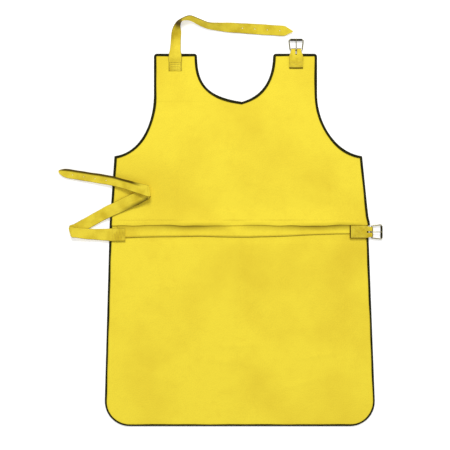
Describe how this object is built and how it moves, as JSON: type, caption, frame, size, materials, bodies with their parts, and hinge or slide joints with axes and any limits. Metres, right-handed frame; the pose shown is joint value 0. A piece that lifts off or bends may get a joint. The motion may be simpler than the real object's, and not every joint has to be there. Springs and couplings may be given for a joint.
{
  "type": "welding apron",
  "caption": "Leather bib apron with bound edges, a waist seam band, a neck strap and a waist strap, and roller buckles on sewn tabs.",
  "frame": {"origin": "on the underside of the skirt panel, at the lower edge of the waist band, on the apron's middle line", "axes": "+Y towards the neck, +X to the right of the front face, +Z out of the front face; z = 0 is the surface it lies on"},
  "size_m": [0.7819, 0.9857, 0.0261],
  "materials": {
    "body_leather": "dyed split leather, matt",
    "strap_leather": "dyed leather strap, satin",
    "edge_binding": "dark folded binding, satin",
    "edge_thread": "sewing thread, matt",
    "thread": "sewing thread, matt",
    "nickel_wire": "nickel-plated wire",
    "roller_steel": "darkened steel tube"
  },
  "bodies": {
    "apron": {"bib_panel": "body_leather", "skirt_panel": "body_leather", "waist_band": "body_leather", "bib_binding_left": "edge_binding", "bib_binding_right": "edge_binding", "skirt_binding": "edge_binding", "bib_binding_left_stitching": "edge_thread", "bib_binding_right_stitching": "edge_thread", "skirt_binding_stitching": "edge_thread", "waist_seam_lower_stitching": "thread", "waist_seam_upper_stitching": "thread", "neck_strap_sewn_end": "strap_leather", "waist_strap": "strap_leather", "neck_strap_stitching": "thread", "waist_strap_stitching": "thread", "neck_buckle_tab": "strap_leather", "waist_buckle_tab": "strap_leather", "neck_buckle_tab_stitching": "thread", "waist_buckle_tab_stitching": "thread"},
    "neck_strap_body": {"neck_strap": "strap_leather"},
    "waist_strap_tail_body": {"waist_strap_tail": "strap_leather"},
    "neck_buckle": {"neck_buckle_frame": "nickel_wire"},
    "neck_prong": {"neck_buckle_prong": "nickel_wire"},
    "neck_roller": {"neck_buckle_roller": "roller_steel"},
    "waist_buckle": {"waist_buckle_frame": "nickel_wire"},
    "waist_prong": {"waist_buckle_prong": "nickel_wire"},
    "waist_roller": {"waist_buckle_roller": "roller_steel"}
  },
  "joints": [
    {"name": "neck_strap_fold", "type": "hinge", "parent": "apron", "child": "neck_strap_body", "pos_m": [-0.1569, 0.44615, 0.0062], "axis": [1, 0, 0], "range_deg": [0, 150]},
    {"name": "waist_strap_unfold", "type": "hinge", "parent": "apron", "child": "waist_strap_tail_body", "pos_m": [-0.22229, 0.11286, 0.0226], "axis": [-0.05, 0.9987, 0], "range_deg": [0, 160]},
    {"name": "neck_buckle_swing", "type": "hinge", "parent": "apron", "child": "neck_buckle", "pos_m": [0.1344, 0.4512, 0.0039], "axis": [1, 0, 0], "range_deg": [0, 60]},
    {"name": "neck_prong_lift", "type": "hinge", "parent": "neck_buckle", "child": "neck_prong", "pos_m": [0.1344, 0.4512, 0.0039], "axis": [1, 0, 0], "range_deg": [0, 75]},
    {"name": "neck_roller_spin", "type": "hinge", "parent": "neck_buckle", "child": "neck_roller", "pos_m": [0.1344, 0.4752, 0.0039], "axis": [1, 0, 0], "continuous": true},
    {"name": "waist_buckle_swing", "type": "hinge", "parent": "apron", "child": "waist_buckle", "pos_m": [0.3162, 0.0122, 0.0039], "axis": [0, -1, 0], "range_deg": [0, 60]},
    {"name": "waist_prong_lift", "type": "hinge", "parent": "waist_buckle", "child": "waist_prong", "pos_m": [0.3162, 0.0122, 0.0039], "axis": [0, -1, 0], "range_deg": [0, 75]},
    {"name": "waist_roller_spin", "type": "hinge", "parent": "waist_buckle", "child": "waist_roller", "pos_m": [0.3402, 0.0122, 0.0039], "axis": [0, -1, 0], "continuous": true}
  ]
}
